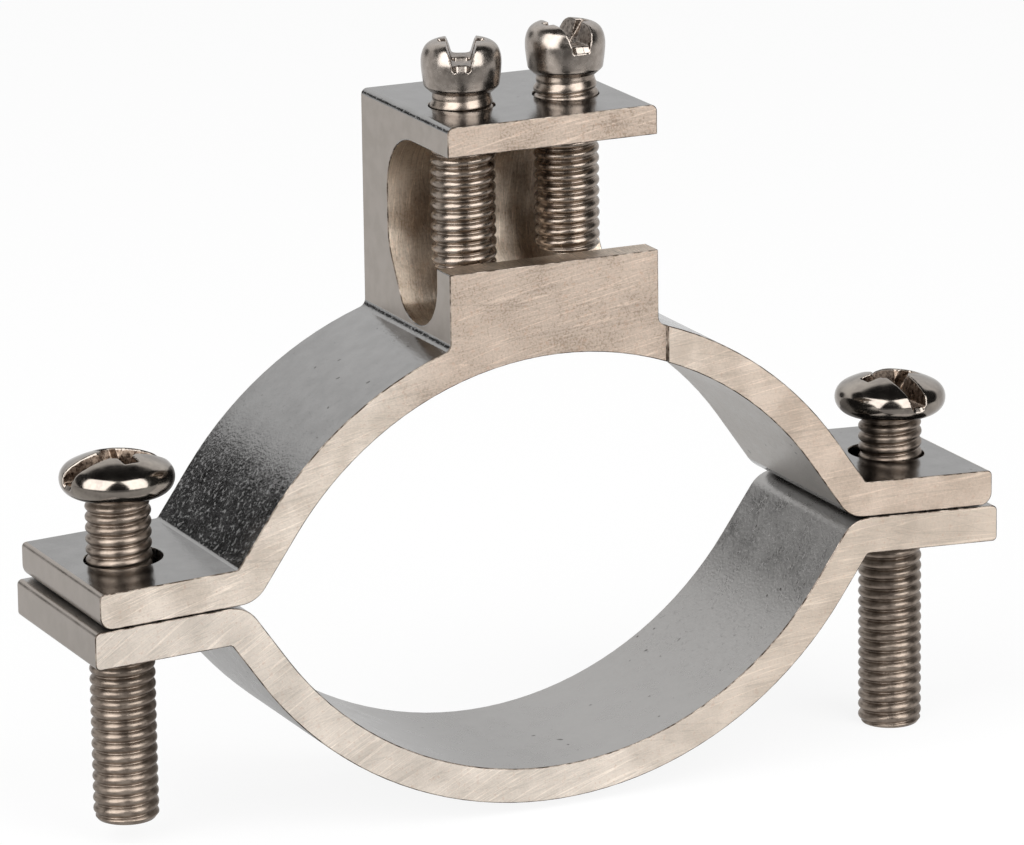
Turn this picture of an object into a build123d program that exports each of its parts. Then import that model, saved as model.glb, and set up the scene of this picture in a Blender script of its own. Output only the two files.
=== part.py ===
# Two-part earthing clamp for metal pipes, with a two-screw terminal for the earthing conductor.
#
# Both halves are lengths sawn from profile, so each starts as one outline in the XZ plane, drawn along
# the pipe. Two pan head screws pull the threaded lower half up to the upper half. The block on the upper
# half's crown is milled out to a C: a threaded top plate, a back wall, a round conductor groove and a lip.
#
# Frame: the pipe's axis is Y, the ears lie along X, and Z points up through the terminal block. The origin
# is on the pipe's axis, level with the joint between the halves where the clamp screws pass through it.
# All sizes are in millimetres.

import os
from math import atan2, cos, degrees, hypot, radians, sin, sqrt, tan
from typing import NamedTuple
from build123d import *

# Profile of both halves
profile_width = 19.0           # length sawn off, along the pipe
arch_wall = 3.2
flank_angle = 55.0             # from the crown to where the curve runs out into a straight flank
ear_dip = 2.4                  # degrees that the ears of both halves lean down towards their ends
joint_gap = 0.12               # left between the ears of the two halves
mouth_fillet = 3.0             # where the bore rounds into the joint
ear_root_fillet = 0.45

# Upper half
upper_bore_radius = 30.9       # seat for pipes up to 2 inches, 60.3 mm outside
upper_bore_rise = 19.4         # from the joint to the crown of the bore
upper_ear_thickness = 3.25
upper_ear_end = 5.6            # from the clamp screw's axis out to the end of the ear
upper_end_top_round = 0.45
upper_end_joint_round = 1.15

# Lower half, a little flatter
lower_bore_radius = 31.9
lower_bore_rise = 18.85
lower_arch_shift = -0.3        # the arch sits this far off the middle of its ears, along X
lower_ear_thickness = 3.4
lower_ear_end = 6.15
lower_end_joint_round = 0.5
lower_end_bottom_round = 0.45

# Terminal block on the crown of the upper half
block_width = 20.5
block_height = 21.65           # from the crown of the bore up to the block's top
block_corner_round = 0.6
block_root_fillet = 0.8
face_recess = 0.3              # the front face is milled, deepest at the right end of the cut
face_recess_margin = 0.8       # past the right side of the block
face_recess_fade = 20.0        # the cut has run out to nothing this far to the left of the middle

# The milled opening through the block, seen along X
plate_thickness = 2.7
lip_thickness = 2.9
lip_height = 6.05              # above the groove's floor
opening_depth = 10.6           # from the back of the lip to the back wall
back_corner_radius = 5.4       # between the top plate and the back wall
back_slope_start = 6.25        # less than this above the groove's floor, the back wall leans forward
back_slope_blend = 6.0
groove_radius = 4.5            # the conductor lies here
groove_floor_wall = 2.35       # left between the groove and the crown of the bore
groove_edge_height = 1.35      # above its floor, where the leaning back wall ends on the groove

# Screw threads
thread_diameter = 5.9          # M6, over the rolled crests
thread_clearance = 0.05        # radial, in a threaded hole
neck_diameter = 5.0
tip_chamfer = 0.7              # on the radius
tip_chamfer_height = 0.9

# Clamp screws, M6 x 30 with a pan head
clamp_screw_offset = 8.83      # from the mouth of the upper bore out to the screw's axis
upper_hole_offset = 0.4        # the upper half's holes are drilled this much closer to the middle
upper_hole_clearance = 0.6     # radial, around the thread
clamp_screw_length = 30.0      # under the head
clamp_neck_length = 0.6
clamp_head_diameter = 10.3
clamp_head_height = 3.8
clamp_rim_radius = 1.45
clamp_slot_top_width = 2.0
clamp_slot_floor_width = 1.15
clamp_slot_depth = 2.35
clamp_notch_depth = 0.15       # V cuts slope down from both ends of the slot's floor
clamp_notch_reach = 0.2        # in from the edge of the head
clamp_cross_span = 6.2
clamp_cross_width = 1.3
clamp_cross_depth = 2.9
left_clamp_stand = 6.0         # from the ear up to the head, on the screw's axis
right_clamp_stand = 3.85
left_clamp_turn = 8.0          # degrees from X to the slot
right_clamp_turn = 94.0

# Terminal screws, M6 x 16 with a barrel head
terminal_screw_pitch = 10.2
terminal_screw_setback = 1.0   # from the middle of the groove back to the screw's axis
terminal_screw_length = 16.0
terminal_neck_length = 1.2
terminal_head_diameter = 7.25
terminal_head_height = 4.75
terminal_head_bulge = 0.15     # the barrel swells by this much on the radius
terminal_top_round = 1.5
terminal_under_chamfer = 0.65
terminal_slot_top_width = 2.8
terminal_slot_floor_width = 1.7
terminal_slot_depth = 1.9
terminal_notch_depth = 0.5
terminal_notch_reach = 0.25
terminal_cross_span = 4.4
terminal_cross_width = 1.2
terminal_cross_depth = 2.4
left_terminal_stand = 1.3      # from the top plate up to the head
right_terminal_stand = 1.9
left_terminal_turn = 66.0
right_terminal_turn = 90.0

# Both kinds of head
notch_slope = 45.0             # degrees

# Worked out from the sizes above
front_face = -profile_width / 2
back_face = profile_width / 2
half_block = block_width / 2
block_top = upper_bore_rise + block_height
plate_underside = block_top - plate_thickness
groove_floor = upper_bore_rise + groove_floor_wall
lip_top = groove_floor + lip_height
lip_back = front_face + lip_thickness
groove_y = lip_back + groove_radius
terminal_screw_x = terminal_screw_pitch / 2
terminal_screw_y = groove_y + terminal_screw_setback
flank = radians(flank_angle)
mouth_rise = upper_bore_radius * cos(flank) - (upper_bore_radius - upper_bore_rise)
mouth_x = upper_bore_radius * sin(flank) + mouth_rise / tan(flank)
clamp_screw_x = mouth_x + clamp_screw_offset
upper_hole_x = clamp_screw_x - upper_hole_offset
upper_hole_radius = thread_diameter / 2 + upper_hole_clearance
threaded_radius = thread_diameter / 2 + thread_clearance
ear_slope = tan(radians(ear_dip))
overrun = 5.0                  # how far a cutter runs past what it cuts


class Half(NamedTuple):
    """Outline sizes of one half of the clamp."""

    side: int                  # 1 for the upper half and -1 for the lower
    bore_radius: float
    bore_rise: float
    arch_shift: float
    ear_thickness: float
    reach: float               # from the middle to the end of each ear
    joint_end_round: float
    outer_end_round: float


upper = Half(
    1, upper_bore_radius, upper_bore_rise, 0, upper_ear_thickness,
    clamp_screw_x + upper_ear_end, upper_end_joint_round, upper_end_top_round,
)
lower = Half(
    -1, lower_bore_radius, lower_bore_rise, lower_arch_shift, lower_ear_thickness,
    clamp_screw_x + lower_ear_end, lower_end_joint_round, lower_end_bottom_round,
)


def mating_height(half, distance):
    """Height of the ear face in the joint, at a distance along X from the middle."""
    return half.side * joint_gap / 2 - ear_slope * (distance - clamp_screw_x)


def outer_height(half, distance):
    """Height of the ear face away from the joint."""
    return mating_height(half, distance) + half.side * half.ear_thickness / cos(radians(ear_dip))


def arch_height(half, radius, distance):
    """Height of a curve of the arch, at a distance along X from the arch's middle."""
    centre_drop = half.bore_radius - half.bore_rise
    return half.side * (sqrt(radius**2 - distance**2) - centre_drop)


def curve_end(half, radius, sign):
    """Where a curve of the arch runs out into its flank: sign is 1 for the +X side and -1 for the other."""
    distance = radius * sin(flank)
    return (half.arch_shift + sign * distance, arch_height(half, radius, distance))


def flank_end(half, radius, sign, face_height):
    """Where the straight flank under a curve of the arch meets one face of the ear."""
    start_x, start_z = curve_end(half, radius, sign)
    fall_towards_face = half.side * sin(flank) - ear_slope * cos(flank)
    run = (start_z - face_height(half, abs(start_x))) / fall_towards_face
    return (start_x + sign * run * cos(flank), start_z - half.side * run * sin(flank))


def ear_corners(half, sign):
    """Corners of one ear in order, from the bore to the back of the arch."""
    mouth = flank_end(half, half.bore_radius, sign, mating_height)
    joint_corner = (sign * half.reach, mating_height(half, half.reach))
    outer_corner = (sign * half.reach, outer_height(half, half.reach))
    root = flank_end(half, half.bore_radius + arch_wall, sign, outer_height)
    return [mouth, joint_corner, outer_corner, root]


def rounded(outline, corner, radius):
    """Round the outline's vertex that lies nearest to a corner in the XZ plane."""
    x, z = corner
    nearest = outline.vertices().sort_by_distance((x, 0, z))[0]
    return fillet(nearest, radius)


def half_outline(half):
    """Arch and ears of one half in the XZ plane."""
    outer_radius = half.bore_radius + arch_wall
    with BuildSketch(Plane.XZ) as sketch:
        with BuildLine():
            for radius in (half.bore_radius, outer_radius):
                crown = (half.arch_shift, arch_height(half, radius, 0))
                ThreePointArc(curve_end(half, radius, -1), crown, curve_end(half, radius, 1))
            for sign in (1, -1):
                bore_end = curve_end(half, half.bore_radius, sign)
                back_end = curve_end(half, outer_radius, sign)
                Polyline(bore_end, *ear_corners(half, sign), back_end)
        make_face()
    outline = sketch.sketch
    rounds = (mouth_fillet, half.joint_end_round, half.outer_end_round, ear_root_fillet)
    for sign in (1, -1):
        for corner, radius in zip(ear_corners(half, sign), rounds):
            outline = rounded(outline, corner, radius)
    return outline


def upper_outline():
    """The upper half's whole outline: arch, ears and the blank of the terminal block."""
    mid_wall = upper.bore_radius + arch_wall / 2
    foot_z = arch_height(upper, mid_wall, half_block)
    root_z = arch_height(upper, upper.bore_radius + arch_wall, half_block)
    with BuildSketch(Plane.XZ) as blank:
        with BuildLine():
            Line((half_block, foot_z), (half_block, block_top))
            Line((half_block, block_top), (0, block_top))
            Line((half_block, foot_z), (0, arch_height(upper, mid_wall, 0)))
            mirror(about=Plane.YZ)
        make_face()
    outline = half_outline(upper) + blank.sketch
    for sign in (1, -1):
        outline = rounded(outline, (sign * half_block, root_z), block_root_fillet)
        outline = rounded(outline, (sign * half_block, block_top), block_corner_round)
    return outline


def drawn_profile(outline):
    """Draw an outline from the XZ plane along the pipe to the sawn width."""
    return extrude(outline, profile_width / 2, both=True)


def conductor_opening():
    """The milled space between top plate, back wall, groove and lip, right through along X."""
    wall_y = lip_back + opening_depth
    groove_z = groove_floor + groove_radius
    edge_reach = sqrt(groove_radius**2 - (groove_radius - groove_edge_height) ** 2)
    groove_edge = (groove_y + edge_reach, groove_floor + groove_edge_height)
    bend = (wall_y, groove_floor + back_slope_start)
    front = front_face - overrun
    with BuildSketch(Plane.YZ) as sketch:
        with BuildLine():
            Polyline((lip_back, groove_z), (lip_back, lip_top), (front, lip_top), (front, plate_underside))
            Polyline((front, plate_underside), (wall_y, plate_underside))
            Polyline((wall_y, plate_underside), bend, groove_edge)
            ThreePointArc(groove_edge, (groove_y, groove_floor), (lip_back, groove_z))
        make_face()
    outline = sketch.sketch
    for (y, z), radius in (((wall_y, plate_underside), back_corner_radius), (bend, back_slope_blend)):
        nearest = outline.vertices().sort_by_distance((0, y, z))[0]
        outline = fillet(nearest, radius)
    return extrude(outline, half_block + overrun, both=True)


def milled_face():
    """What the mill takes off the front face: a slanting cut that ends in a step right of the block."""
    right_end = half_block + face_recess_margin
    left_end = -face_recess_fade - overrun
    slant = face_recess / (face_recess_fade + right_end)
    front = front_face - overrun
    with BuildSketch() as sketch:
        with BuildLine():
            Polyline(
                (left_end, front_face - slant * overrun),
                (right_end, front_face + face_recess),
                (right_end, front),
                (left_end, front),
                (left_end, front_face - slant * overrun),
            )
        make_face()
    return extrude(sketch.sketch, block_top + overrun)


def pair_of_holes(x, y, radius, low, high):
    """Two upright round cutters, one on each side of the middle."""
    cutter = Cylinder(radius, high - low, align=(Align.CENTER, Align.CENTER, Align.MIN))
    return [Pos(sign * x, y, low) * cutter for sign in (-1, 1)]


def upper_half():
    """Arch, ears with clearance holes, and the terminal block with its threaded plate."""
    ear_top = outer_height(upper, clamp_screw_x)
    above_plate = block_top + overrun
    solid = drawn_profile(upper_outline())
    solid -= milled_face()
    solid -= conductor_opening()
    solid -= pair_of_holes(upper_hole_x, 0, upper_hole_radius, -overrun, ear_top + overrun)
    solid -= pair_of_holes(terminal_screw_x, terminal_screw_y, threaded_radius, lip_top, above_plate)
    return solid


def lower_half():
    """Arch and ears with threaded holes."""
    ear_bottom = outer_height(lower, clamp_screw_x)
    solid = drawn_profile(half_outline(lower))
    solid -= pair_of_holes(clamp_screw_x, 0, threaded_radius, ear_bottom - overrun, overrun)
    return solid


def shank_points(length, neck_length):
    """Outline of a shank from its tip up to the underside of its head, which lies at height 0."""
    radius = thread_diameter / 2
    return [
        (0, -length),
        (radius - tip_chamfer, -length),
        (radius, tip_chamfer_height - length),
        (radius, -neck_length),
        (neck_diameter / 2, -neck_length),
        (neck_diameter / 2, 0),
    ]


def flats(centre, radius, start, end, count):
    """Corners of a small round drawn as a few flats, from one angle in degrees to another."""
    x, z = centre
    angles = [radians(start + (end - start) * step / count) for step in range(count + 1)]
    return [(x + radius * cos(a), z + radius * sin(a)) for a in angles]


def pan_head_screw():
    """Blank of a clamp screw: a crowned pan head over a full thread."""
    rim_x = clamp_head_diameter / 2 - clamp_rim_radius
    rim_z = clamp_rim_radius
    rise = clamp_head_height - rim_z
    crown_radius = (rim_x**2 + rise**2 - clamp_rim_radius**2) / (2 * (rise - clamp_rim_radius))
    crown_z = clamp_head_height - crown_radius
    span = hypot(rim_x, rim_z - crown_z)
    blend = (rim_x * crown_radius / span, crown_z + (rim_z - crown_z) * crown_radius / span)
    crown_middle_x = blend[0] / 2
    crown_middle = (crown_middle_x, crown_z + sqrt(crown_radius**2 - crown_middle_x**2))
    rim_end = degrees(atan2(blend[1] - rim_z, blend[0] - rim_x))
    points = shank_points(clamp_screw_length, clamp_neck_length)
    points += flats((rim_x, rim_z), clamp_rim_radius, -90, 0, 2)
    points += flats((rim_x, rim_z), clamp_rim_radius, 0, rim_end, 3)[1:]
    with BuildSketch(Plane.XZ) as sketch:
        with BuildLine():
            Polyline(*points)
            ThreePointArc(points[-1], crown_middle, (0, clamp_head_height))
            Line((0, clamp_head_height), points[0])
        make_face()
    return revolve(sketch.sketch, Axis.Z)


def barrel_head_screw():
    """Blank of a terminal screw: a swelling barrel head, undercut to a neck over the thread."""
    side_x = terminal_head_diameter / 2 - terminal_head_bulge
    round_z = terminal_head_height - terminal_top_round
    middle = (terminal_head_diameter / 2, (terminal_under_chamfer + round_z) / 2)
    points = shank_points(terminal_screw_length, terminal_neck_length)
    points += [(side_x - terminal_under_chamfer, 0), (side_x, terminal_under_chamfer)]
    top = flats((side_x - terminal_top_round, round_z), terminal_top_round, 0, 90, 2)
    with BuildSketch(Plane.XZ) as sketch:
        with BuildLine():
            Polyline(*points)
            ThreePointArc(points[-1], middle, top[0])
            Polyline(*top, (0, terminal_head_height), points[0])
        make_face()
    return revolve(sketch.sketch, Axis.Z)


def slot_cutter(head_height, head_diameter, top_width, floor_width, depth):
    """A slot with drafted walls, along X and open at both ends."""
    draft = (top_width - floor_width) / 2 / depth
    half_top = top_width / 2 + draft * overrun
    floor_z = head_height - depth
    with BuildSketch(Plane.YZ) as sketch:
        with BuildLine():
            Polyline(
                (-half_top, head_height + overrun),
                (-floor_width / 2, floor_z),
                (floor_width / 2, floor_z),
                (half_top, head_height + overrun),
                (-half_top, head_height + overrun),
            )
        make_face()
    return extrude(sketch.sketch, head_diameter, both=True)


def notch_cutters(head_diameter, floor_width, floor_z, depth, reach):
    """V cuts that run from the slot's floor down and out through the side of the head, at both ends."""
    half_width = floor_width / 2
    with BuildSketch(Plane.YZ) as sketch:
        with BuildLine():
            Polyline(
                (-half_width, overrun),
                (-half_width, 0),
                (0, -depth),
                (half_width, 0),
                (half_width, overrun),
                (-half_width, overrun),
            )
        make_face()
    cutter = extrude(sketch.sketch, 2 * reach, both=True)
    placed = Pos(head_diameter / 2 - reach, 0, floor_z) * Rot(0, notch_slope, 0) * cutter
    return [placed, Rot(0, 0, 180) * placed]


def cross_cutter(head_height, span, width, depth):
    """The cross recess: two wings at right angles that narrow towards the bottom."""
    half_top = span / 2
    half_floor = width / 2
    with BuildSketch(Plane.XZ) as sketch:
        with BuildLine():
            Polyline(
                (-half_top, head_height + overrun),
                (-half_top, head_height),
                (-half_floor, head_height - depth),
                (half_floor, head_height - depth),
                (half_top, head_height),
                (half_top, head_height + overrun),
                (-half_top, head_height + overrun),
            )
        make_face()
    wing = extrude(sketch.sketch, width / 2, both=True)
    return wing + Rot(0, 0, 90) * wing


def clamp_screw(side, stand, turn):
    """One clamp screw at rest: side is -1 for the left and 1 for the right."""
    solid = pan_head_screw()
    solid -= slot_cutter(
        clamp_head_height, clamp_head_diameter, clamp_slot_top_width, clamp_slot_floor_width,
        clamp_slot_depth,
    )
    solid -= notch_cutters(
        clamp_head_diameter, clamp_slot_floor_width, clamp_head_height - clamp_slot_depth,
        clamp_notch_depth, clamp_notch_reach,
    )
    solid -= cross_cutter(clamp_head_height, clamp_cross_span, clamp_cross_width, clamp_cross_depth)
    ear_top = outer_height(upper, clamp_screw_x)
    return Pos(side * clamp_screw_x, 0, ear_top + stand) * Rot(0, 0, turn) * solid


def terminal_screw(side, stand, turn):
    """One terminal screw at rest: side is -1 for the left and 1 for the right."""
    solid = barrel_head_screw()
    solid -= slot_cutter(
        terminal_head_height, terminal_head_diameter, terminal_slot_top_width, terminal_slot_floor_width,
        terminal_slot_depth,
    )
    solid -= notch_cutters(
        terminal_head_diameter, terminal_slot_floor_width, terminal_head_height - terminal_slot_depth,
        terminal_notch_depth, terminal_notch_reach,
    )
    solid -= cross_cutter(
        terminal_head_height, terminal_cross_span, terminal_cross_width, terminal_cross_depth,
    )
    return Pos(side * terminal_screw_x, terminal_screw_y, block_top + stand) * Rot(0, 0, turn) * solid


parts = {
    "upper_half": upper_half(),
    "lower_half": lower_half(),
    "clamp_screw_left": clamp_screw(-1, left_clamp_stand, left_clamp_turn),
    "clamp_screw_right": clamp_screw(1, right_clamp_stand, right_clamp_turn),
    "terminal_screw_left": terminal_screw(-1, left_terminal_stand, left_terminal_turn),
    "terminal_screw_right": terminal_screw(1, right_terminal_stand, right_terminal_turn),
}
os.makedirs("parts", exist_ok=True)
for name, solid in parts.items():
    export_step(solid, f"parts/{name}.step")
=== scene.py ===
from math import atan2, ceil, cos, degrees, hypot, pi, radians, sin
import bmesh
import bpy
import numpy as np
from mathutils import Matrix, Vector


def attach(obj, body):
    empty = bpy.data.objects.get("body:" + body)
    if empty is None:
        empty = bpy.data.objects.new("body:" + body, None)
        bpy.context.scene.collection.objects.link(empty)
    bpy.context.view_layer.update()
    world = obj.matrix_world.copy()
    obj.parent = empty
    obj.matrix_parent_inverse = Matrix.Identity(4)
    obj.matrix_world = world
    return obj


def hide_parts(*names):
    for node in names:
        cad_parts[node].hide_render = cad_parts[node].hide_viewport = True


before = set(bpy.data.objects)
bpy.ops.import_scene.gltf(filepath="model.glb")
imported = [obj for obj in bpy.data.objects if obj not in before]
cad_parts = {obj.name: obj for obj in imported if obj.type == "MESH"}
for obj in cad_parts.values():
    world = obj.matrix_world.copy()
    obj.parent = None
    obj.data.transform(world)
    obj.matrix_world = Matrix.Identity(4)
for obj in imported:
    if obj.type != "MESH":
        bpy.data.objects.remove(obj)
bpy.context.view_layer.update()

mm = 0.001
scene = bpy.context.scene
print("stage: frame loaded")


# Shared small tools

def fromHex(code):
    # an sRGB hex value as a linear colour
    channels = [int(code[i:i + 2], 16) / 255 for i in (0, 2, 4)]
    return [c / 12.92 if c <= 0.04045 else ((c + 0.055) / 1.055) ** 2.4 for c in channels] + [1.0]


def outputOf(node):
    # the output in use, because a Mix node has one for each kind of data
    return next(s for s in node.outputs if s.enabled)


def addNode(tree, kind, inputs=(), stops=(), **settings):
    # inputs is a list in socket order, or a dict by socket name or index; nodes and sockets are linked
    # stops are the places of a ramp with their hex colours or grey levels
    node = tree.nodes.new(kind)
    for key, value in settings.items():
        setattr(node, key, value)
    pairs = inputs.items() if isinstance(inputs, dict) else enumerate(inputs)
    for key, value in pairs:
        if isinstance(value, bpy.types.Node):
            value = outputOf(value)
        if isinstance(value, bpy.types.NodeSocket):
            tree.links.new(value, node.inputs[key])
        else:
            node.inputs[key].default_value = value
    if stops:
        marks = node.color_ramp.elements
        while len(marks) < len(stops):
            marks.new(0.5)
        for mark, (place, value) in zip(marks, stops):
            mark.position = place
            mark.color = fromHex(value) if isinstance(value, str) else (value, value, value, 1)
    return node


def newMaterial(name, metallic=1.0):
    material = bpy.data.materials.new(name)
    material.use_nodes = True
    tree = material.node_tree
    shader = tree.nodes["Principled BSDF"]
    shader.inputs["Metallic"].default_value = metallic
    return material, tree, shader


def paint(tree, shader, colour, roughness, height, s):
    # the finish goes to the shader; the bump's depth is in millimetres
    tree.links.new(outputOf(colour), shader.inputs["Base Color"])
    tree.links.new(outputOf(roughness), shader.inputs["Roughness"])
    bump = addNode(tree, "ShaderNodeBump", {"Strength": s["strength"], "Distance": s["bump"] * mm, "Height": height})
    tree.links.new(bump.outputs[0], shader.inputs["Normal"])


def newObject(name, mesh):
    thing = bpy.data.objects.new(name, mesh)
    scene.collection.objects.link(thing)
    return thing


def baked(thing):
    # the mesh with its modifiers applied; the object itself goes
    graph = bpy.context.evaluated_depsgraph_get()
    mesh = bpy.data.meshes.new_from_object(thing.evaluated_get(graph))
    bpy.data.objects.remove(thing)
    return mesh


def closedMesh(bm, name):
    # the bmesh as a mesh with its faces turned outwards
    bmesh.ops.recalc_face_normals(bm, faces=bm.faces)
    mesh = bpy.data.meshes.new(name)
    bm.to_mesh(mesh)
    bm.free()
    return mesh


# Sawn faces: warm beige nickel over brass, crossed by the fine arcs of a saw blade
# Noise scales count per millimetre: 4.6 gives grains of 0.2 mm, 1.8 saw lines about 0.5 mm apart
# A mark is the tilt, the seed and the width of its lines in noise values; a range is low, high to low, high

sawnUpper = {
    # the third colour, multiplied in across its span in X in mm, is painted shade on the right side
    "colours": [(0.6, "D9CCBE"), (0.9, "EFE3D6")], "speck": "BB947A", "tan": "EBE4DF", "tanned": (2, 26),
    "clouds": {"Scale": 0.25, "Detail": 4, "Roughness": 0.6}, "grain": {"Scale": 4.6, "Detail": 2, "Roughness": 0.6},
    "flecks": {"Scale": 2.0, "Detail": 4, "Roughness": 0.7}, "lines": {"Scale": 1.8, "Detail": 1, "Roughness": 0.5},
    "centre": (25, 0, -320), "streak": 0.022, "upright": False,
    "cuts": (0.0, 0.0, 0.024), "crossed": (0.22, 7.0, 0.016), "bright": (-0.13, 19.0, 0.022),
    "grainShare": 0.5, "grainHeight": 1.2, "darkLine": 0.12, "brightLine": 0.22,
    "patchRange": (0.3, 0.7, 1.4, 0.6), "spotRange": (0.64, 0.74, 0.0, 0.4), "fleckRange": (0.56, 0.72, 0.0, 0.45),
    "cloudSpan": (0.3, 0.7), "roughness": (0.38, 0.48), "strength": 0.5, "bump": 0.014,
}
# the lower half has its own colours and its own painted shade on the right side
sawnLower = dict(sawnUpper, centre=(25, 0, -118), colours=[(0.6, "DDD2C6"), (0.9, "EDE2D6")], tan="EDE8E3")
# the front of the block was milled: pinker and grainier, fading out to the left along the arch
milledFront = {
    "colours": [(0.48, "AE9C8C"), (0.58, "C3B2A3"), (0.8, "D2C1B2")], "end": 11.0, "fade": (-19, -9),
    "grainShare": 0.75, "cloudShare": 0.55, "lines": 1.2,
}
# the opening behind it is darker and shinier, with marks that follow its outline
milledInside = dict(
    sawnUpper, colours=[(0.6, "AC9C8B"), (0.9, "D6CABB")], lines=dict(sawnUpper["lines"], Scale=3.2),
    centre=(0, 0, 0), streak=0.04, upright=True, darkLine=0.3, brightLine=0.4, roughness=(0.36, 0.44), bump=0.02,
)


def hairlines(tree, across, along, s, mark):
    # 1 on thin long lines that wander along one direction, 0 between them
    tilt, seed, width = mark
    slant = addNode(tree, "ShaderNodeMath", [along, tilt, across], operation="MULTIPLY_ADD")
    drawn = addNode(tree, "ShaderNodeMath", [along, s["streak"]], operation="MULTIPLY")
    place = addNode(tree, "ShaderNodeCombineXYZ", [slant, drawn, seed])
    noise = addNode(tree, "ShaderNodeTexNoise", dict(s["lines"], Vector=place))
    off = addNode(tree, "ShaderNodeMath", [noise, 0.5], operation="SUBTRACT")
    off = addNode(tree, "ShaderNodeMath", [off], operation="ABSOLUTE")
    return addNode(tree, "ShaderNodeMapRange", [off, 0.0, width, 1.0, 0.0])


def sawnMaterial(name, s, milled=None):
    material, tree, shader = newMaterial(name)
    where = addNode(tree, "ShaderNodeTexCoord").outputs["Object"]
    scaled = addNode(tree, "ShaderNodeVectorMath", {0: where, "Scale": 1 / mm}, operation="SCALE")
    away = addNode(tree, "ShaderNodeVectorMath", [scaled, s["centre"]], operation="SUBTRACT")
    parts = addNode(tree, "ShaderNodeSeparateXYZ", [away]).outputs
    # across and along the marks: round the blade's centre, or down the wall of the opening
    if s["upright"]:
        across = parts["X"]
        along = addNode(tree, "ShaderNodeMath", [parts["Y"], parts["Z"]], operation="ADD")
    else:
        across = addNode(tree, "ShaderNodeVectorMath", [away], operation="LENGTH").outputs["Value"]
        turn = addNode(tree, "ShaderNodeMath", [parts["X"], parts["Z"]], operation="ARCTAN2")
        along = addNode(tree, "ShaderNodeMath", [turn, across], operation="MULTIPLY")
    cuts = hairlines(tree, across, along, s, s["cuts"])
    crossed = hairlines(tree, across, along, s, s["crossed"])
    bright = hairlines(tree, across, along, s, s["bright"])
    clouds = addNode(tree, "ShaderNodeTexNoise", dict(s["clouds"], Vector=scaled))
    grain = addNode(tree, "ShaderNodeTexNoise", dict(s["grain"], Vector=scaled))
    mixed = addNode(tree, "ShaderNodeMath", [grain, s["grainShare"], clouds], operation="MULTIPLY_ADD")
    base = addNode(tree, "ShaderNodeValToRGB", [mixed], stops=s["colours"])
    # painted shade: the right side is a little darker and warmer than the left, standing in for the lamps' light
    # falling off towards it
    place = addNode(tree, "ShaderNodeSeparateXYZ", [scaled]).outputs
    right = addNode(tree, "ShaderNodeMapRange", [place["X"], *s["tanned"]])
    rightShadeMix = {0: right, 6: base, 7: fromHex(s["tan"])}
    base = addNode(tree, "ShaderNodeMix", rightShadeMix, data_type="RGBA", blend_type="MULTIPLY")
    strength = 1.0
    if milled:
        # 1 on the milled front, 0 on the sawn rest
        rise = addNode(tree, "ShaderNodeMapRange", [place["X"], *milled["fade"]], interpolation_type="SMOOTHSTEP")
        inside = addNode(tree, "ShaderNodeMath", [place["X"], milled["end"]], operation="LESS_THAN")
        front = addNode(tree, "ShaderNodeMath", [place["Y"], 0.0], operation="LESS_THAN")
        both = addNode(tree, "ShaderNodeMath", [inside, front], operation="MULTIPLY")
        mask = addNode(tree, "ShaderNodeMath", [rise, both], operation="MULTIPLY")
        finer = addNode(tree, "ShaderNodeMath", [grain, milled["grainShare"]], operation="MULTIPLY")
        speckle = addNode(tree, "ShaderNodeMath", [clouds, milled["cloudShare"], finer], operation="MULTIPLY_ADD")
        pink = addNode(tree, "ShaderNodeValToRGB", [speckle], stops=milled["colours"])
        base = addNode(tree, "ShaderNodeMix", {0: mask, 6: base, 7: pink}, data_type="RGBA")
        strength = addNode(tree, "ShaderNodeMapRange", {0: mask, 3: 1.0, 4: milled["lines"]})
    # dark cuts in patches and bright ones between them, as a factor on the colour
    lines = addNode(tree, "ShaderNodeMath", [cuts, crossed], operation="MAXIMUM")
    patchy = addNode(tree, "ShaderNodeMapRange", [clouds, *s["patchRange"]])
    lines = addNode(tree, "ShaderNodeMath", [lines, patchy], operation="MULTIPLY")
    lines = addNode(tree, "ShaderNodeMath", [lines, strength], operation="MULTIPLY")
    shade = addNode(tree, "ShaderNodeMath", [lines, -s["darkLine"], 1.0], operation="MULTIPLY_ADD")
    gleam = addNode(tree, "ShaderNodeMath", [bright, strength], operation="MULTIPLY")
    shade = addNode(tree, "ShaderNodeMath", [gleam, s["brightLine"], shade], operation="MULTIPLY_ADD")
    lined = addNode(tree, "ShaderNodeVectorMath", {0: base, "Scale": shade}, operation="SCALE")
    # brownish specks where the plating is thin
    spots = addNode(tree, "ShaderNodeMapRange", [grain, *s["spotRange"]])
    flecks = addNode(tree, "ShaderNodeTexNoise", dict(s["flecks"], Vector=scaled))
    flecks = addNode(tree, "ShaderNodeMapRange", [flecks, *s["fleckRange"]])
    spots = addNode(tree, "ShaderNodeMath", [spots, flecks], operation="MAXIMUM")
    warm = addNode(tree, "ShaderNodeMix", {0: spots, 6: lined, 7: fromHex(s["speck"])}, data_type="RGBA")
    rough = addNode(tree, "ShaderNodeMapRange", [clouds, *s["cloudSpan"], *s["roughness"]])
    height = addNode(tree, "ShaderNodeMath", [grain, s["grainHeight"], shade], operation="MULTIPLY_ADD")
    paint(tree, shader, warm, rough, height, s)
    return material


# Extruded surfaces: satin grey nickel with faint die lines along the pipe and a few pits
# The die lines run along Y, where the coordinates are drawn out the most

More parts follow.
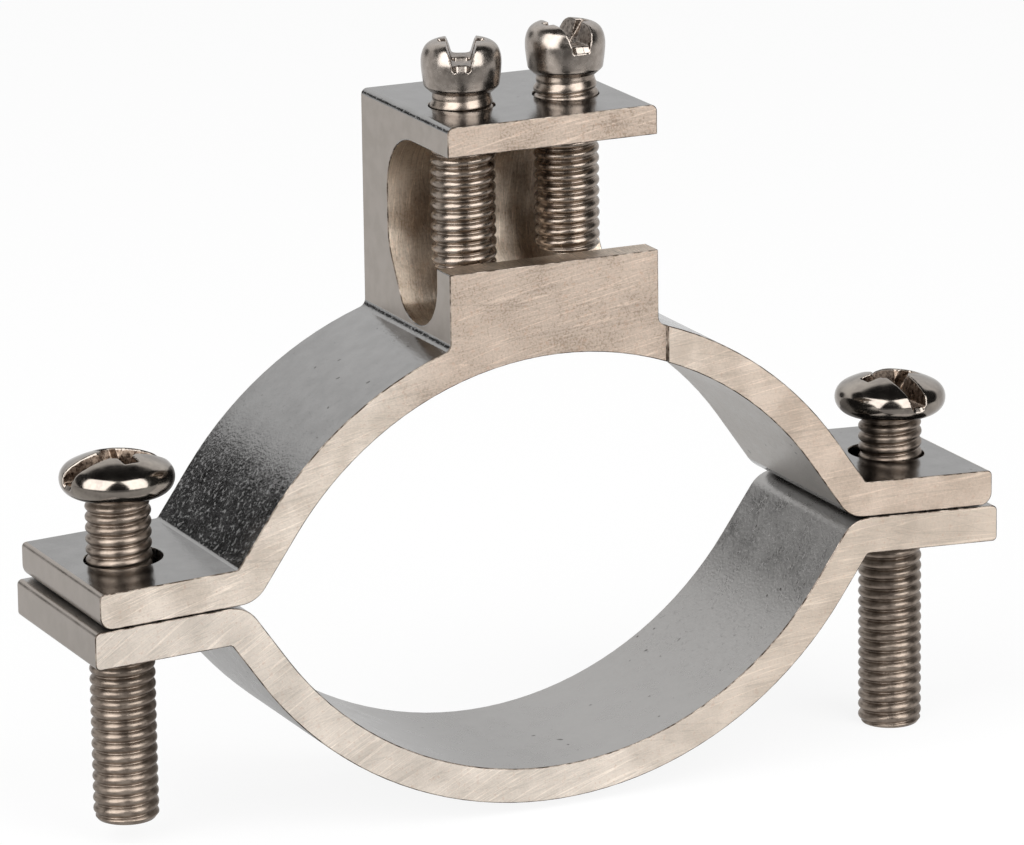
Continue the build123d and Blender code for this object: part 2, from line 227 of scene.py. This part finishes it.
extrudedUpper = {
    "colours": [(0.35, "8A8988"), (0.65, "959493")], "pit": "3A3733", "drawn": (1000, 60, 1000),
    "lines": {"Scale": 1.3, "Detail": 4, "Roughness": 0.6}, "clouds": {"Scale": 0.4, "Detail": 5, "Roughness": 0.6},
    "grain": {"Scale": 3.6, "Detail": 1.5, "Roughness": 0.5}, "pits": {"Scale": 1.1, "Detail": 1, "Roughness": 0.5},
    "specks": {"Scale": 1.5, "Detail": 6, "Roughness": 0.75}, "flecks": {"Scale": 2.4, "Detail": 5, "Roughness": 0.7},
    "pitRange": (0.755, 0.8, 0.0, 0.8), "fleckRange": (0.58, 0.7, 0.0, 0.5), "dullRange": (0.42, 0.72, 0.0, 0.06),
    "leanRange": (0.3, 0.75, 0.2, 1.0), "lineHeight": 0.25,
    "cloudSpan": (0.3, 0.7), "roughness": (0.11, 0.18), "strength": 0.5, "bump": 0.05,
}
extrudedLower = dict(extrudedUpper, colours=[(0.35, "9F9D9B"), (0.65, "A9A7A5")], roughness=(0.24, 0.34))
# painted shade: the upper bore faces down, and its darker, warmer colour stands in for the shade under the arch; it
# is also duller
shadedBore = dict(extrudedLower, colours=[(0.35, "9E9A95"), (0.65, "A8A39E")], roughness=(0.3, 0.4))


def extrudedMaterial(name, s):
    material, tree, shader = newMaterial(name)
    where = addNode(tree, "ShaderNodeTexCoord").outputs["Object"]
    drawn = addNode(tree, "ShaderNodeMapping", {"Vector": where, "Scale": s["drawn"]})
    even = addNode(tree, "ShaderNodeVectorMath", {0: where, "Scale": 1 / mm}, operation="SCALE")
    lines = addNode(tree, "ShaderNodeTexNoise", dict(s["lines"], Vector=drawn))
    clouds = addNode(tree, "ShaderNodeTexNoise", dict(s["clouds"], Vector=even))
    grain = addNode(tree, "ShaderNodeTexNoise", dict(s["grain"], Vector=even))
    pits = addNode(tree, "ShaderNodeTexNoise", dict(s["pits"], Vector=even))
    colour = addNode(tree, "ShaderNodeValToRGB", [clouds], stops=s["colours"])
    deep = addNode(tree, "ShaderNodeMapRange", [pits, *s["pitRange"]])
    pitted = addNode(tree, "ShaderNodeMix", {0: deep, 6: colour, 7: fromHex(s["pit"])}, data_type="RGBA")
    rough = addNode(tree, "ShaderNodeMapRange", [clouds, *s["cloudSpan"], *s["roughness"]])
    specks = addNode(tree, "ShaderNodeTexNoise", dict(s["specks"], Vector=even))
    # the flanks are grainier than the ears and the plate, which lie flat
    normal = addNode(tree, "ShaderNodeNewGeometry").outputs["Normal"]
    facing = addNode(tree, "ShaderNodeSeparateXYZ", [normal])
    lean = addNode(tree, "ShaderNodeMath", [facing.outputs["X"]], operation="ABSOLUTE")
    share = addNode(tree, "ShaderNodeMapRange", [lean, *s["leanRange"]])
    height = addNode(tree, "ShaderNodeMath", [lines, s["lineHeight"], grain], operation="MULTIPLY_ADD")
    # sparse steep flecks catch the light on the dark flanks
    flecks = addNode(tree, "ShaderNodeTexNoise", dict(s["flecks"], Vector=even))
    flecks = addNode(tree, "ShaderNodeMapRange", [flecks, *s["fleckRange"]])
    height = addNode(tree, "ShaderNodeMath", [height, flecks], operation="ADD")
    height = addNode(tree, "ShaderNodeMath", [height, share], operation="MULTIPLY")
    dull = addNode(tree, "ShaderNodeMapRange", [specks, *s["dullRange"]])
    dull = addNode(tree, "ShaderNodeMath", [dull, share], operation="MULTIPLY")
    rough = addNode(tree, "ShaderNodeMath", [rough, dull], operation="ADD")
    paint(tree, shader, pitted, rough, height, s)
    return material


# Grained finishes: one cloudy noise carries the colour, the roughness and the bump

grained = {"noise": {"Detail": 5, "Roughness": 0.6}, "span": (0.35, 0.65), "strength": 0.4}
# the ends of the ears and the sides of the block were cut smooth
cutEnd = dict(grained, colours=[(0.38, "9B938B"), (0.62, "A8A099")], roughness=(0.28, 0.4), grain=0.5, bump=0.012)
# sawn edges carry a thin dark burr line
edgeFinish = dict(grained, colours=[(0.42, "453A31"), (0.66, "C2B5A8")], roughness=(0.35, 0.5), grain=1.0, bump=0.03)
# screws: glossy nickel on the clamp heads and duller nickel on the barrels
headFinish = dict(
    grained, colours=[(0.38, "89817A"), (0.62, "9C948B")], roughness=(0.11, 0.18), grain=0.8, bump=0.012
)
barrelFinish = dict(grained, colours=[(0.38, "958C84"), (0.62, "A9A098")], roughness=(0.2, 0.3), grain=1.3, bump=0.03)
# the rolled threads are warmer and duller
threadFinish = dict(
    grained, colours=[(0.38, "7A6E64"), (0.62, "9C8F83")], roughness=(0.32, 0.4), grain=1.0, bump=0.003
)
brightThread = dict(threadFinish, colours=[(0.38, "897E74"), (0.62, "A4978C")], roughness=(0.24, 0.3))
# rough and brownish where the punch formed the recess, and darkened there as painted shade
recessAndShadeFinish = dict(
    grained, colours=[(0.38, "463930"), (0.62, "9E8D7E")], roughness=(0.22, 0.42), grain=2.2, bump=0.07
)
# the slots of the terminal heads: rough and brownish, with painted shade darkening them
slotAndShadeFinish = dict(recessAndShadeFinish, colours=[(0.38, "5B5048"), (0.62, "A89D93")], bump=0.12)


def grainedMaterial(name, s):
    material, tree, shader = newMaterial(name)
    where = addNode(tree, "ShaderNodeTexCoord").outputs["Object"]
    even = addNode(tree, "ShaderNodeVectorMath", {0: where, "Scale": 1 / mm}, operation="SCALE")
    clouds = addNode(tree, "ShaderNodeTexNoise", dict(s["noise"], Vector=even, Scale=s["grain"]))
    colour = addNode(tree, "ShaderNodeValToRGB", [clouds], stops=s["colours"])
    rough = addNode(tree, "ShaderNodeMapRange", [clouds, *s["span"], *s["roughness"]])
    paint(tree, shader, colour, rough, clouds, s)
    return material


materials = {
    "sawnUpper": sawnMaterial("sawn_plated_brass", sawnUpper, milledFront),
    "sawnLower": sawnMaterial("sawn_plated_brass_lower", sawnLower),
    "inside": sawnMaterial("milled_inside", milledInside),
    "extrudedUpper": extrudedMaterial("satin_plated_brass", extrudedUpper),
    "extrudedLower": extrudedMaterial("satin_plated_brass_lower", extrudedLower),
    "shadedBore": extrudedMaterial("satin_bore_painted_shade", shadedBore),
    "cutEnd": grainedMaterial("cut_end", cutEnd),
    "edge": grainedMaterial("burred_edge", edgeFinish),
    "clamp": grainedMaterial("glossy_nickel", headFinish),
    "terminal": grainedMaterial("dull_nickel", barrelFinish),
    "clampRecess": grainedMaterial("forged_recess_and_painted_shade", recessAndShadeFinish),
    "terminalRecess": grainedMaterial("forged_slot_and_painted_shade", slotAndShadeFinish),
    "clampThread": grainedMaterial("rolled_thread", threadFinish),
    "terminalThread": grainedMaterial("rolled_thread_bright", brightThread),
}
print("stage: materials made")


# The two halves: merged copies of the CAD meshes with fine broken edges
# Lengths are in millimetres and angles in degrees; the facings are shares of a face's normal

halves = {
    "weld": 0.001, "flatAngle": 0.2, "sharpAngle": 25, "shadeAngle": 50, "normalWeight": 100,
    "breakEdge": 0.09, "breakSteps": 2, "breakShape": 0.6, "burrFacing": 0.15,
    "sawnAt": 9.1, "sawnFacing": 0.9, "endAt": 43.2, "endFacing": 0.06, "sideFacing": 0.99,
    "openingLow": (-10.2, -9.2, 21), "openingHigh": (10.2, 4.4, 38.5), "boreCentre": -11.5, "boreRadius": 31.2,
}


def finishOf(face, side, s):
    # a face's finish, by the way it faces and where it lies
    centre, facing = face.calc_center_median() / mm, face.normal
    if abs(facing.y) > s["sawnFacing"] and abs(centre.y) > s["sawnAt"]:
        return "sawn" + side
    if abs(facing.x) > s["sideFacing"] or abs(centre.x) > s["endAt"] and abs(facing.x) > s["endFacing"]:
        return "cutEnd"
    if all(low < c < high for low, c, high in zip(s["openingLow"], centre, s["openingHigh"])):
        return "inside"
    # faces looking down inside the upper bore take the finish with painted shade
    if side == "Upper" and hypot(centre.x, centre.z - s["boreCentre"]) < s["boreRadius"] and facing.z < 0:
        return "shadedBore"
    return "extruded" + side


def half(name, s):
    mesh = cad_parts[name].data.copy()
    bm = bmesh.new()
    bm.from_mesh(mesh)
    bmesh.ops.remove_doubles(bm, verts=bm.verts, dist=s["weld"] * mm)
    bmesh.ops.dissolve_limit(
        bm, angle_limit=radians(s["flatAngle"]), verts=bm.verts, edges=bm.edges, use_dissolve_boundaries=False
    )
    bmesh.ops.recalc_face_normals(bm, faces=bm.faces)
    side = "Upper" if name == "upper_half" else "Lower"
    slots = ["extruded" + side, "sawn" + side, "cutEnd", "inside", "edge", "shadedBore"]
    for face in bm.faces:
        face.material_index = slots.index(finishOf(face, side, s))
    keen = [e for e in bm.edges if len(e.link_faces) == 2 and degrees(e.calc_face_angle(0)) > s["sharpAngle"]]
    plain, burr = slots.index("extruded" + side), slots.index("edge")
    bmesh.ops.bevel(
        bm, geom=keen, offset=s["breakEdge"] * mm, offset_type="OFFSET", segments=s["breakSteps"],
        profile=s["breakShape"], affect="EDGES", clamp_overlap=True, material=burr,
    )
    for face in bm.faces:
        face.smooth = True
        # only the edges of the sawn faces keep the burr line
        if face.material_index == burr and abs(face.normal.y) < s["burrFacing"]:
            face.material_index = plain
    made = bpy.data.meshes.new(name + "_dressed")
    bm.to_mesh(made)
    bm.free()
    for key in slots:
        made.materials.append(materials[key])
    made.set_sharp_from_angle(angle=radians(s["shadeAngle"]))
    thing = newObject(name + "_draft", made)
    weigh = thing.modifiers.new("weigh", "WEIGHTED_NORMAL")
    weigh.keep_sharp, weigh.weight = True, s["normalWeight"]
    piece = newObject(name + "_dressed", baked(thing))
    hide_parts(name)
    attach(piece, name)


for name in ("upper_half", "lower_half"):
    half(name, halves)
print("stage: halves dressed")


# Screw heads, built in millimetres over height 0 at the underside
# The cutters stand over the head, the notch cuts slope out of the slot, and the voxels melt the edges

headBase = {
    "stubRadius": 2.1, "stubDepth": 0.5, "steps": 160, "over": 3,
    "notchFlat": 0.8, "notchHalf": 0.6, "notchTilt": 58, "voxel": 0.075, "ease": 0.5, "easeTimes": 5,
    "recessUnder": 0.2, "recessWithin": 0.15, "recessBelow": 0.08,
}
clampHead = dict(
    headBase, diameter=10.3, height=3.8, rim=1.45, rimSteps=28, domeSteps=24,
    slotTop=2.3, slotFloor=1.4, slotDepth=2.35, notch=0.15, notchReach=0.2,
    span=6.4, width=1.5, depth=2.9, cone=1.7, coneTip=0.2, coneSteps=48,
)
terminalHead = dict(
    headBase, diameter=7.25, height=4.75, slotTop=2.8, slotFloor=1.7, slotDepth=1.9, notch=0.35, notchReach=0.42,
    span=4.4, width=1.2, depth=2.4, curveSteps=6,
    outline=[
        (2.5, 0), (2.8, 0.03), (3.12, 0.3), (3.36, 0.56), (3.44, 1.0), (3.52, 1.6), (3.59, 2.4), (3.58, 3.0),
        (3.44, 3.62), (3.14, 4.14), (2.6, 4.48), (1.85, 4.6), (0, 4.66),
    ],
)


def arcPoints(centre, radius, start, end, count):
    angles = [radians(start + (end - start) * i / count) for i in range(count + 1)]
    return [(centre[0] + radius * cos(a), centre[1] + radius * sin(a)) for a in angles]


def panProfile(s):
    # a round rim that runs into a flat dome
    rimX, rimZ = s["diameter"] / 2 - s["rim"], s["rim"]
    rise = s["height"] - rimZ
    crown = (rimX ** 2 + rise ** 2 - s["rim"] ** 2) / (2 * (rise - s["rim"]))
    crownZ = s["height"] - crown
    blend = degrees(atan2(rimZ - crownZ, rimX))
    rim = arcPoints((rimX, rimZ), s["rim"], -90, blend, s["rimSteps"])
    dome = arcPoints((0, crownZ), crown, blend, 90, s["domeSteps"])
    return [(s["stubRadius"], -s["stubDepth"]), (s["stubRadius"], 0)] + rim + dome[1:-1] + [(0, s["height"])]


def barrelProfile(s):
    # a smooth curve through the points of the outline
    marks = s["outline"]
    points = [(s["stubRadius"], -s["stubDepth"]), (s["stubRadius"], 0)]
    for i in range(len(marks) - 1):
        before, here = marks[max(i - 1, 0)], marks[i]
        there, after = marks[i + 1], marks[min(i + 2, len(marks) - 1)]
        for step in range(s["curveSteps"]):
            t = step / s["curveSteps"]
            points.append(tuple(
                0.5 * (2 * b + (c - a) * t + (2 * a - 5 * b + 4 * c - d) * t * t + (3 * b - a - 3 * c + d) * t ** 3)
                for a, b, c, d in zip(before, here, there, after)
            ))
    return points + [(0, s["height"])]


def lathe(name, profile, steps):
    # a profile of (radius, z) points turned round Z, whose last point lies on the axis
    bm = bmesh.new()
    angles = [2 * pi * i / steps for i in range(steps)]
    rings = [[bm.verts.new((radius * cos(a), radius * sin(a), z)) for a in angles] for radius, z in profile[:-1]]
    top = bm.verts.new((0, 0, profile[-1][1]))
    for low, high in zip(rings, rings[1:]):
        for i in range(steps):
            j = (i + 1) % steps
            bm.faces.new((low[i], low[j], high[j], high[i]))
    for i in range(steps):
        bm.faces.new((rings[-1][i], rings[-1][(i + 1) % steps], top))
    bm.faces.new(list(reversed(rings[0])))
    return closedMesh(bm, name)


def prism(name, outline, reach, alongX):
    # a closed outline of (across, z) points, drawn both ways along X or Y
    bm = bmesh.new()
    ends = []
    for side in (-reach, reach):
        ends.append([bm.verts.new((side, a, z) if alongX else (a, side, z)) for a, z in outline])
    count = len(outline)
    for i in range(count):
        j = (i + 1) % count
        bm.faces.new((ends[0][i], ends[0][j], ends[1][j], ends[1][i]))
    bm.faces.new(ends[0])
    bm.faces.new(list(reversed(ends[1])))
    return newObject(name, closedMesh(bm, name))


def headMesh(s, profile):
    top, over = s["height"], s["over"]
    above, floor, deep = top + over, top - s["slotDepth"], top - s["depth"]
    side, flat = s["slotFloor"] / 2, s["notchFlat"] / 2
    # the slot, wider at its top
    draft = (s["slotTop"] - s["slotFloor"]) / 2 / s["slotDepth"]
    wide = s["slotTop"] / 2 + draft * over
    slot = [(-wide, above), (-side, floor), (side, floor), (wide, above)]
    # the cross recess
    far, near = s["span"] / 2, s["width"] / 2
    wing = [(-far, above), (-far, top), (-near, deep), (near, deep), (far, top), (far, above)]
    cutters = [prism("slot", slot, s["diameter"], True)]
    cutters += [prism("wing_x", wing, near, False), prism("wing_y", wing, near, True)]
    if "cone" in s:
        wider = s["cone"] * (1 + over / s["depth"])
        cone = lathe("cone", [(s["coneTip"], deep), (wider, above), (0, above)], s["coneSteps"])
        cutters.append(newObject("cone", cone))
    # a tapered cut slopes down and out from each end of the slot's floor
    notch = [(-side, over), (-side, 0), (-flat, -s["notch"]), (flat, -s["notch"]), (side, 0), (side, over)]
    reach = Vector((s["diameter"] / 2 - s["notchReach"], 0, floor))
    tilt = Matrix.Rotation(radians(s["notchTilt"]), 4, "Y")
    for turn in (0, pi):
        cutter = prism("notch", notch, s["notchHalf"], True)
        cutter.data.transform(Matrix.Rotation(turn, 4, "Z") @ Matrix.Translation(reach) @ tilt)
        cutters.append(cutter)
    thing = newObject("head", lathe("head", profile, s["steps"]))
    for cutter in cutters:
        cut = thing.modifiers.new("cut", "BOOLEAN")
        cut.operation, cut.object, cut.solver = "DIFFERENCE", cutter, "EXACT"
    melt = thing.modifiers.new("melt", "REMESH")
    melt.mode, melt.voxel_size = "VOXEL", s["voxel"]
    ease = thing.modifiers.new("ease", "SMOOTH")
    ease.factor, ease.iterations = s["ease"], s["easeTimes"]
    mesh = baked(thing)
    for cutter in cutters:
        bpy.data.objects.remove(cutter)
    # faces well under the uncut outline are the recess, in slot 1, whose finish paints shade into it
    radii = np.array([p[0] for p in profile[::-1]])
    heights = np.array([p[1] for p in profile[::-1]])
    widest = int(np.argmax(radii))
    for face in mesh.polygons:
        x, y, z = face.center
        r = hypot(x, y)
        face.use_smooth = True
        roof = np.interp(r, radii[:widest + 1], heights[:widest + 1])
        wall = radii[widest]
        if z < heights[widest]:
            wall = np.interp(z, heights[widest:][::-1], radii[widest:][::-1])
        under, within = z < roof - s["recessUnder"], r < wall - s["recessWithin"]
        face.material_index = 1 if under and within and z > floor - s["recessBelow"] else 0
    return mesh


# Threads: one Geometry Nodes tree that lays a helical sheet round the axis

threadSettings = {
    "crest": 2.95, "root": 2.56, "crestWidth": 2.2, "pitch": 1.0, "rowsPerPitch": 14, "columns": 60,
    "tip": 2.6, "chamfer": 0.45, "neck": 2.6, "weld": 0.0005,
}


def threadTree(s):
    tree = bpy.data.node_groups.new("screw_thread", "GeometryNodeTree")
    face = tree.interface
    face.new_socket("Geometry", in_out="OUTPUT", socket_type="NodeSocketGeometry")
    face.new_socket("Geometry", in_out="INPUT", socket_type="NodeSocketGeometry")
    for label, value in (
        ("Crest Radius", s["crest"]), ("Root Radius", s["root"]), ("Pitch", s["pitch"]), ("Bottom", -30.0),
        ("Top", 0.0), ("Phase", 0.0), ("Tip Radius", s["tip"]), ("Tip Height", s["chamfer"]),
        ("Neck Radius", s["neck"]), ("Run Out", 1.2),
    ):
        face.new_socket(label, in_out="INPUT", socket_type="NodeSocketFloat").default_value = value
    for label, value in (("Rows", 360), ("Columns", s["columns"]), ("Rows Per Pitch", s["rowsPerPitch"])):
        face.new_socket(label, in_out="INPUT", socket_type="NodeSocketInt").default_value = value
    face.new_socket("Material", in_out="INPUT", socket_type="NodeSocketMaterial")
    given = tree.nodes.new("NodeGroupInput").outputs
    kind = "ShaderNodeMath"
    across = addNode(tree, kind, [given["Columns"], 1], operation="ADD")
    down = addNode(tree, kind, [given["Rows"], 1], operation="ADD")
    sheet = addNode(tree, "GeometryNodeMeshGrid", [1.0, 1.0, across, down])
    position = addNode(tree, "GeometryNodeInputPosition")
    place = addNode(tree, "ShaderNodeSeparateXYZ", [position]).outputs
    # turns runs from 0 to 1 round the screw, row counts up the sheet, and each turn climbs one pitch
    turns = addNode(tree, kind, [place["X"], 0.5], operation="ADD")
    climbed = addNode(tree, kind, [place["Y"], 0.5], operation="ADD")
    row = addNode(tree, kind, [climbed, given["Rows"]], operation="MULTIPLY")
    pitches = addNode(tree, kind, [row, given["Rows Per Pitch"]], operation="DIVIDE")
    rise = addNode(tree, kind, [pitches, turns], operation="ADD")
    started = addNode(tree, kind, [rise, 1.0], operation="SUBTRACT")
    lifted = addNode(tree, kind, [started, given["Pitch"], given["Bottom"]], operation="MULTIPLY_ADD")
    low = addNode(tree, kind, [lifted, given["Bottom"]], operation="MAXIMUM")
    z = addNode(tree, kind, [low, given["Top"]], operation="MINIMUM")
    passed = addNode(tree, kind, [z, given["Pitch"]], operation="DIVIDE")
    cycle = addNode(tree, kind, [passed, turns], operation="SUBTRACT")
    shifted = addNode(tree, kind, [cycle, given["Phase"]], operation="SUBTRACT")
    part = addNode(tree, kind, [shifted], operation="FRACT")
    # wide round crests and narrow roots: 0 on the crest, 1 in the root
    centred = addNode(tree, kind, [part, 0.5], operation="SUBTRACT")
    distance = addNode(tree, kind, [centred], operation="ABSOLUTE")
    spread = addNode(tree, kind, [distance, 2.0], operation="MULTIPLY")
    dip = addNode(tree, kind, [spread, s["crestWidth"]], operation="POWER")
    threaded = addNode(tree, "ShaderNodeMix", {0: dip, 2: given["Crest Radius"], 3: given["Root Radius"]})
    # the chamfered tip, and the run-out under the neck
    above = addNode(tree, kind, [z, given["Bottom"]], operation="SUBTRACT")
    chamfer = [above, 0.0, given["Tip Height"], given["Tip Radius"], given["Crest Radius"]]
    cone = addNode(tree, "ShaderNodeMapRange", chamfer)
    tipped = addNode(tree, kind, [threaded, cone], operation="MINIMUM")
    below = addNode(tree, kind, [given["Top"], z], operation="SUBTRACT")
    fading = [below, 0.0, given["Run Out"], 0.0, 1.0]
    runOut = addNode(tree, "ShaderNodeMapRange", fading, interpolation_type="SMOOTHSTEP")
    radius = addNode(tree, "ShaderNodeMix", {0: runOut, 2: given["Neck Radius"], 3: tipped})
    # the first row closes the tip
    closed = addNode(tree, kind, [row, 0.5], operation="GREATER_THAN")
    shown = addNode(tree, kind, [radius, closed], operation="MULTIPLY")
    angle = addNode(tree, kind, [turns, 2 * pi], operation="MULTIPLY")
    cosine = addNode(tree, kind, [angle], operation="COSINE")
    x = addNode(tree, kind, [cosine, shown], operation="MULTIPLY")
    sine = addNode(tree, kind, [angle], operation="SINE")
    y = addNode(tree, kind, [sine, shown], operation="MULTIPLY")
    spot = addNode(tree, "ShaderNodeCombineXYZ", [x, y, z])
    moved = addNode(tree, "GeometryNodeSetPosition", {"Geometry": sheet, "Position": spot})
    merged = addNode(tree, "GeometryNodeMergeByDistance", {"Geometry": moved, "Distance": s["weld"]})
    smooth = addNode(tree, "GeometryNodeSetShadeSmooth", {"Geometry": merged})
    real = addNode(tree, "GeometryNodeRealizeInstances", [smooth])
    dressed = addNode(tree, "GeometryNodeSetMaterial", {"Geometry": real, "Material": given["Material"]})
    addNode(tree, "NodeGroupOutput", [dressed])
    return tree


threads = threadTree(threadSettings)


def threadMesh(shank, material, s):
    carrier = newObject("thread", bpy.data.meshes.new("thread"))
    grow = carrier.modifiers.new("grow", "NODES")
    wanted = {
        "Bottom": -float(shank["length"]), "Top": 0.0, "Phase": shank["phase"], "Run Out": shank["runOut"],
        "Rows": ceil((shank["length"] / s["pitch"] + 1) * s["rowsPerPitch"]), "Material": material,
    }
    grow.node_group = threads
    for item in threads.interface.items_tree:
        if item.item_type == "SOCKET" and item.in_out == "INPUT" and item.name in wanted:
            grow[item.identifier] = wanted[item.name]
    return baked(carrier)


# Screws: a head and a thread each, set where the photograph has them; at is the underside of the head

screws = {
    "clamp_screw_left": {"head": "clamp", "at": (-38.4995, 0, 9.313), "turn": 8},
    "clamp_screw_right": {"head": "clamp", "at": (38.4995, 0, 7.163), "turn": 94},
    "terminal_screw_left": {"head": "terminal", "at": (-5.1, -1.1, 42.35), "turn": 66},
    "terminal_screw_right": {"head": "terminal", "at": (5.1, -1.1, 42.95), "turn": 90},
}
shanks = {
    "clamp": {"length": 30, "phase": 0.0, "runOut": 1.2},
    "terminal": {"length": 16, "phase": 0.0, "runOut": 1.8},
}
heads = {
    "clamp": headMesh(clampHead, panProfile(clampHead)),
    "terminal": headMesh(terminalHead, barrelProfile(terminalHead)),
}
print("stage: heads made", {k: len(m.polygons) for k, m in heads.items()})

for name, s in screws.items():
    head, recess, thread = s["head"], s["head"] + "Recess", s["head"] + "Thread"
    finishes = [head, recess, thread]
    bm = bmesh.new()
    bm.from_mesh(heads[head])
    count = len(bm.faces)
    bm.from_mesh(threadMesh(shanks[head], materials[thread], threadSettings))
    bm.faces.ensure_lookup_table()
    for face in bm.faces[count:]:
        face.material_index = finishes.index(thread)
    moved, turned = Matrix.Translation(Vector(s["at"]) * mm), Matrix.Rotation(radians(s["turn"]), 4, "Z")
    bm.transform(moved @ turned @ Matrix.Scale(mm, 4))
    mesh = closedMesh(bm, name + "_dressed")
    for key in finishes:
        mesh.materials.append(materials[key])
    piece = newObject(name + "_dressed", mesh)
    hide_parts(name)
    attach(piece, name)
print("stage: screws made")


# Studio: pale floor, soft lamps, camera at the photograph's angle
# The table is what reflections see: grey, then dark in front of the part

studio = {
    "floor": -22.845, "floorReach": 3, "floorColour": "F2F2F2", "floorRoughness": 0.9, "floorGlow": 0.88,
    "tableTowards": (0.4175, 0.9087, 0), "tableSpan": (-0.2, 0.06),
    "table": [(0.0, 0.03), (0.15, 0.05), (0.25, 0.46), (0.42, 0.54), (0.58, 0.44), (0.75, 0.64), (0.95, 0.88)],
    "openTowards": (-0.13, -0.75, 0.648), "openSpan": (-0.02, 0.04),
    "gapTowards": (-0.427, 0.877, 0.219), "gapSpan": (0.976, 0.992),
    "tentHeights": (0.26, 0.5), "tent": (0.76, 1.1), "dark": 0.025, "world": 0.35,
}
lamps = [
    {"name": "soft_left", "azimuth": -67.7, "elevation": 30, "away": 0.8, "wide": 0.74, "high": 1.05, "watts": 9.2},
    {"name": "soft_right", "azimuth": 19.3, "elevation": 30, "away": 0.8, "wide": 0.6, "high": 1.0, "watts": 7.1},
]
view = {
    "azimuth": -24.678, "elevation": 15.12, "roll": -0.766, "away": 625.842, "rise": 10.522, "shift": -0.23,
    "lens": 242.305, "sensor": 36, "near": 0.01, "far": 10,
}


def fromAngles(azimuth, elevation):
    # the direction of something that is seen at these angles from the part
    a, e = radians(azimuth), radians(elevation)
    return Vector((sin(a) * cos(e), -cos(a) * cos(e), sin(e)))


bm = bmesh.new()
bmesh.ops.create_grid(bm, x_segments=1, y_segments=1, size=studio["floorReach"])
bm.transform(Matrix.Translation((0, 0, studio["floor"] * mm)))
floorMesh = bpy.data.meshes.new("floor")
bm.to_mesh(floorMesh)
bm.free()
floor = newObject("floor", floorMesh)
material, tree, shader = newMaterial("pale_floor", 0.0)
shader.inputs["Base Color"].default_value = fromHex(studio["floorColour"])
shader.inputs["Roughness"].default_value = studio["floorRoughness"]
seen = addNode(tree, "ShaderNodeLightPath").outputs
where = addNode(tree, "ShaderNodeTexCoord").outputs["Object"]
forward = addNode(tree, "ShaderNodeVectorMath", [where, studio["tableTowards"]], operation="DOT_PRODUCT")
scaled = addNode(tree, "ShaderNodeMapRange", [forward.outputs["Value"], *studio["tableSpan"]])
table = addNode(tree, "ShaderNodeValToRGB", [scaled], stops=studio["table"])
colour = addNode(tree, "ShaderNodeMix", {0: seen["Is Camera Ray"], 6: table, 7: (1, 1, 1, 1)}, data_type="RGBA")
glow = addNode(tree, "ShaderNodeEmission", {"Color": colour, "Strength": 1.0})
either = addNode(tree, "ShaderNodeMath", [seen["Is Camera Ray"], seen["Is Glossy Ray"]], operation="MAXIMUM")
share = addNode(tree, "ShaderNodeMath", [either, studio["floorGlow"]], operation="MULTIPLY")
blended = addNode(tree, "ShaderNodeMixShader", [share, shader, glow])
tree.links.new(blended.outputs[0], tree.nodes["Material Output"].inputs["Surface"])
floorMesh.materials.append(material)

world = bpy.data.worlds.new("studio")
scene.world = world
world.use_nodes = True
tree = world.node_tree
tree.nodes.clear()
where = addNode(tree, "ShaderNodeTexCoord").outputs["Generated"]
seen = addNode(tree, "ShaderNodeLightPath").outputs
# a light tent that is open to the front and in the front half of its roof, and has a dark gap back left
opening = addNode(tree, "ShaderNodeVectorMath", [where, studio["openTowards"]], operation="DOT_PRODUCT")
opened = [opening.outputs["Value"], *studio["openSpan"]]
room = addNode(tree, "ShaderNodeMapRange", opened, interpolation_type="SMOOTHSTEP")
corner = addNode(tree, "ShaderNodeVectorMath", [where, studio["gapTowards"]], operation="DOT_PRODUCT")
parted = [corner.outputs["Value"], *studio["gapSpan"]]
gap = addNode(tree, "ShaderNodeMapRange", parted, interpolation_type="SMOOTHSTEP")
darkness = addNode(tree, "ShaderNodeMath", [room, gap], operation="MAXIMUM")
height = addNode(tree, "ShaderNodeSeparateXYZ", [where]).outputs["Z"]
tent = addNode(tree, "ShaderNodeMapRange", [height, *studio["tentHeights"], *studio["tent"]])
mirrored = addNode(tree, "ShaderNodeMapRange", {0: darkness, 3: tent, 4: studio["dark"]})
plain = addNode(tree, "ShaderNodeMix", {0: seen["Is Glossy Ray"], 2: studio["world"], 3: mirrored})
level = addNode(tree, "ShaderNodeMix", {0: seen["Is Camera Ray"], 2: plain, 3: 1.0})
backdrop = addNode(tree, "ShaderNodeBackground", {"Color": (1, 1, 1, 1), "Strength": level})
addNode(tree, "ShaderNodeOutputWorld", [backdrop])

for lamp in lamps:
    light = bpy.data.lights.new(lamp["name"], "AREA")
    light.shape, light.size, light.size_y, light.energy = "RECTANGLE", lamp["wide"], lamp["high"], lamp["watts"]
    thing = newObject(lamp["name"], light)
    towards = fromAngles(lamp["azimuth"], lamp["elevation"])
    thing.location = towards * lamp["away"]
    thing.rotation_euler = (-towards).to_track_quat("-Z", "Y").to_euler()

back = fromAngles(view["azimuth"], view["elevation"])
right = fromAngles(view["azimuth"] + 90, 0)
up = back.cross(right)
r = radians(view["roll"])
right, up = right * cos(r) + up * sin(r), up * cos(r) - right * sin(r)
camera = newObject("camera", bpy.data.cameras.new("camera"))
camera.data.lens, camera.data.sensor_width = view["lens"], view["sensor"]
camera.data.clip_start, camera.data.clip_end = view["near"], view["far"]
axes = Matrix((right, up, back)).transposed().to_4x4()
axes.translation = (back * view["away"] + up * view["rise"] + right * view["shift"]) * mm
camera.matrix_world = axes
scene.camera = camera
scene.view_settings.view_transform = "Standard"
print("stage: studio set")
